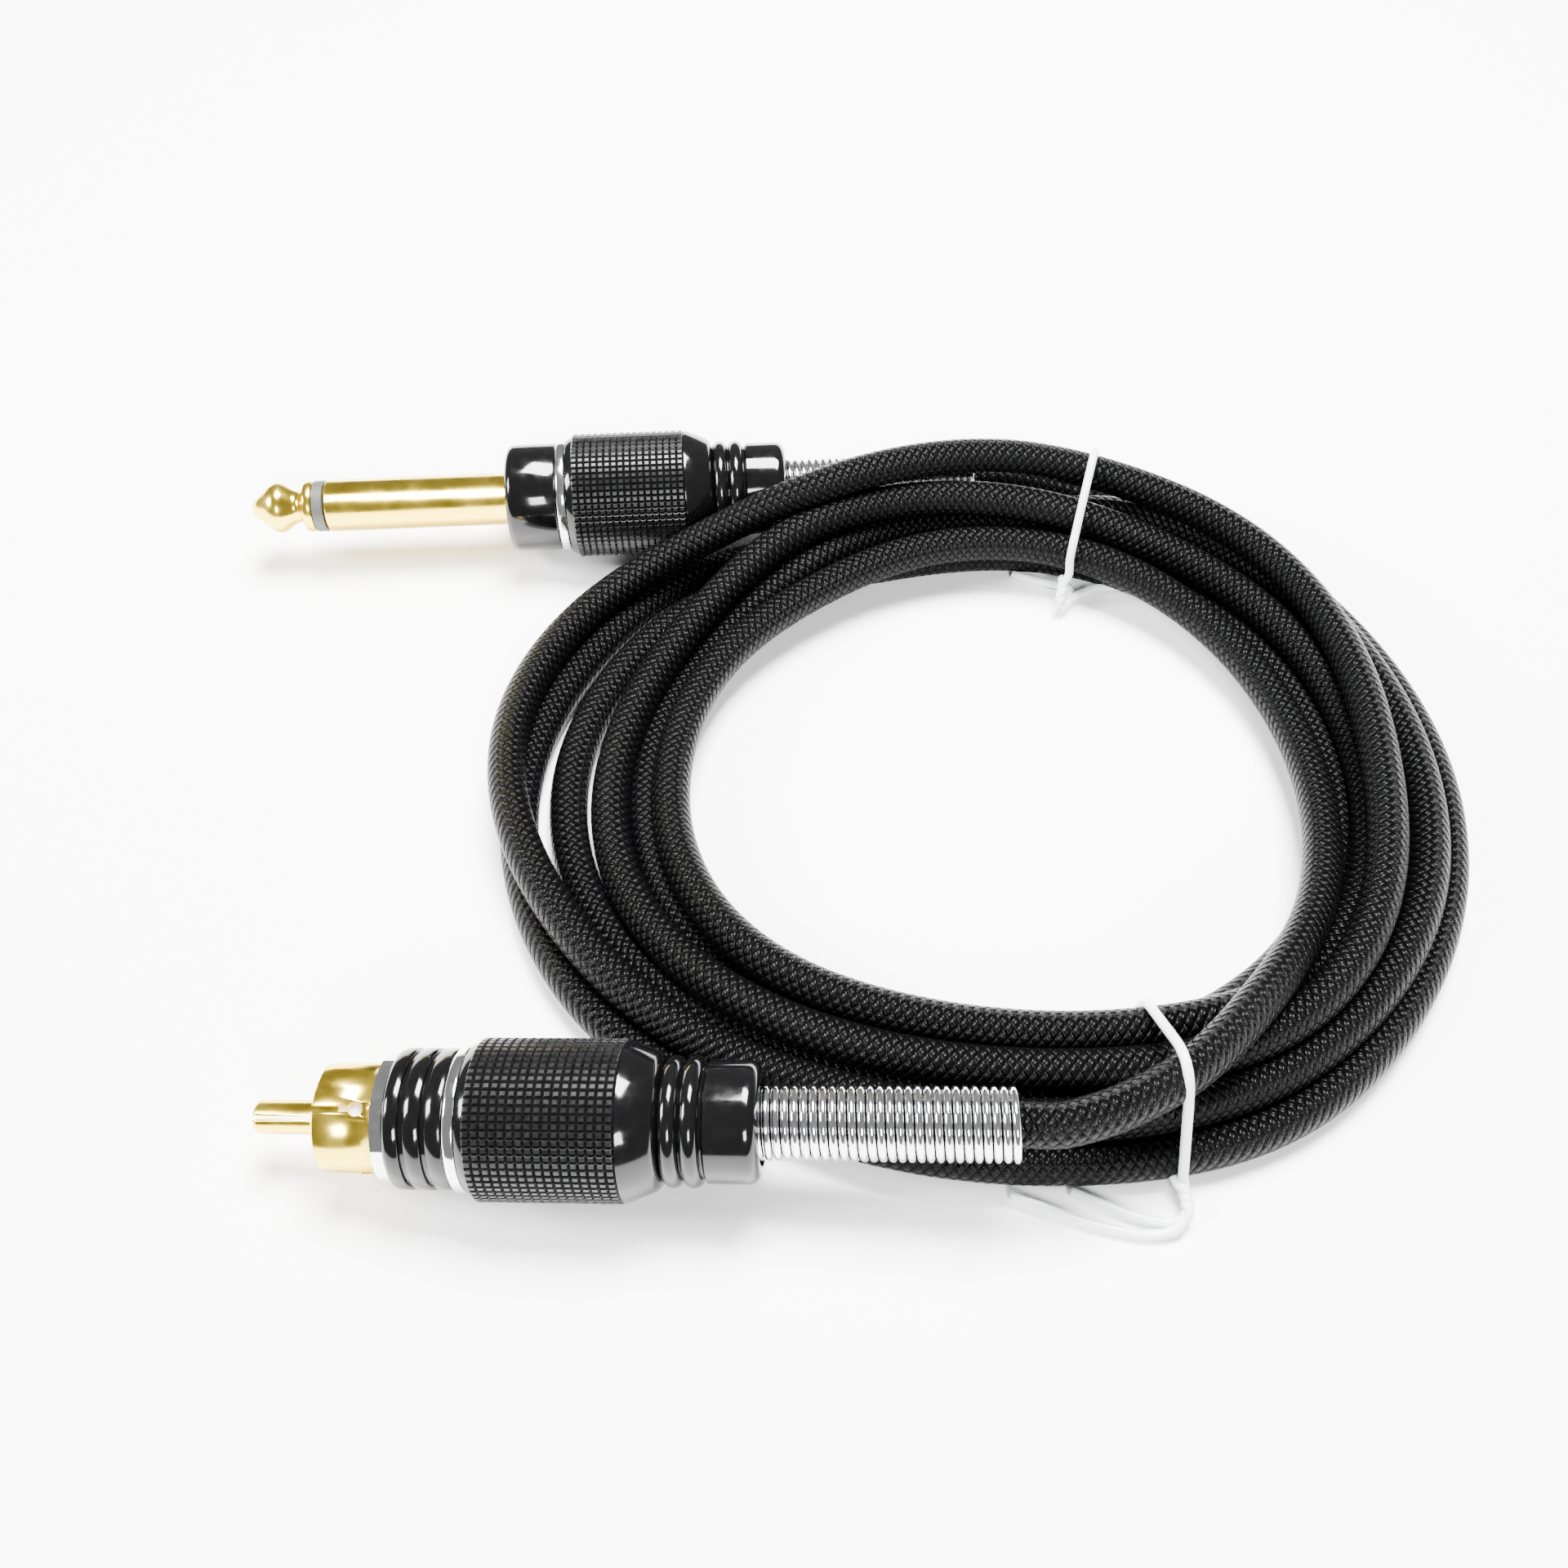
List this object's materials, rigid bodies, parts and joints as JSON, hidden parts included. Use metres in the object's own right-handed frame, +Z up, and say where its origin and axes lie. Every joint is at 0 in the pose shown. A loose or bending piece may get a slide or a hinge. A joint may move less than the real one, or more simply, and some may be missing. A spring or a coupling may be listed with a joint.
{
  "type": "instrument cable",
  "caption": "Braided instrument cable with a mono jack plug on one end and an RCA plug on the other, coiled and held by wire ties.",
  "frame": {"origin": "on the supporting surface, at the centre of the two plugs' box", "axes": "+Z up from the surface the cable lies on; +X runs from the contacts towards the cord; the jack plug is on the +Y side and the RCA plug on the -Y side"},
  "size_m": [0.1392, 0.1156, 0.0159],
  "materials": {
    "gold_plate": "polished gold plate",
    "nickel_plate": "satin nickel plate",
    "chrome": "polished",
    "gloss_black": "gloss black",
    "knurled_black": "black, fine square knurl on the grip and gloss behind it",
    "braided_jacket": "black woven nylon braid",
    "white_insulator": "moulded white",
    "grey_insulator": "moulded dark grey",
    "clear_sleeve": "clear to milky plastic",
    "bare_copper": "bare gathered copper strands"
  },
  "bodies": {
    "cord_and_cores": {"ts_tip": "gold_plate", "ts_tip_insulator": "grey_insulator", "ts_sleeve": "gold_plate", "ts_collar": "gloss_black", "ts_body": "nickel_plate", "ts_trim_ring": "chrome", "ts_tip_terminal": "nickel_plate", "ts_ground_clamp": "nickel_plate", "ts_insulating_sleeve": "clear_sleeve", "ts_core_wire": "white_insulator", "ts_shield_pigtail": "bare_copper", "rca_pin": "gold_plate", "rca_insulator": "white_insulator", "rca_ground_shell": "gold_plate", "rca_flange": "chrome", "rca_collar": "gloss_black", "rca_body": "nickel_plate", "rca_trim_ring": "chrome", "rca_ground_clamp": "nickel_plate", "rca_insulating_sleeve": "clear_sleeve", "rca_core_wire": "white_insulator", "rca_shield_pigtail": "bare_copper", "cord_coil": "braided_jacket", "cord_lead_ts": "braided_jacket", "cord_lead_rca": "braided_jacket", "tie_front": "clear_sleeve", "tie_back": "clear_sleeve"},
    "ts_relief": {"ts_spring": "chrome"},
    "ts_shell": {"ts_barrel": "knurled_black"},
    "rca_relief": {"rca_spring": "chrome"},
    "rca_shell": {"rca_barrel": "knurled_black"}
  },
  "joints": [
    {"name": "ts_shell_slide", "type": "slide", "parent": "cord_and_cores", "child": "ts_relief", "axis": [0.9982, 0.0593, 0], "range_m": [0, 0.0045]},
    {"name": "ts_shell_turn", "type": "hinge", "parent": "ts_relief", "child": "ts_shell", "pos_m": [-0.0056, 0.0421, 0.0075], "axis": [0.9982, 0.0593, 0], "range_deg": [0, 2160]},
    {"name": "rca_shell_slide", "type": "slide", "parent": "cord_and_cores", "child": "rca_relief", "axis": [0.9965, -0.0453, 0.0698], "range_m": [0, 0.0045]},
    {"name": "rca_shell_turn", "type": "hinge", "parent": "rca_relief", "child": "rca_shell", "pos_m": [-0.007, -0.0426, 0.00739], "axis": [0.9965, -0.0453, 0.0698], "range_deg": [0, 2160]}
  ],
  "couplings": [
    {"joint": "ts_shell_turn", "follows": "ts_shell_slide", "rad_per_m": 8377.6},
    {"joint": "rca_shell_turn", "follows": "rca_shell_slide", "rad_per_m": 8377.6}
  ]
}
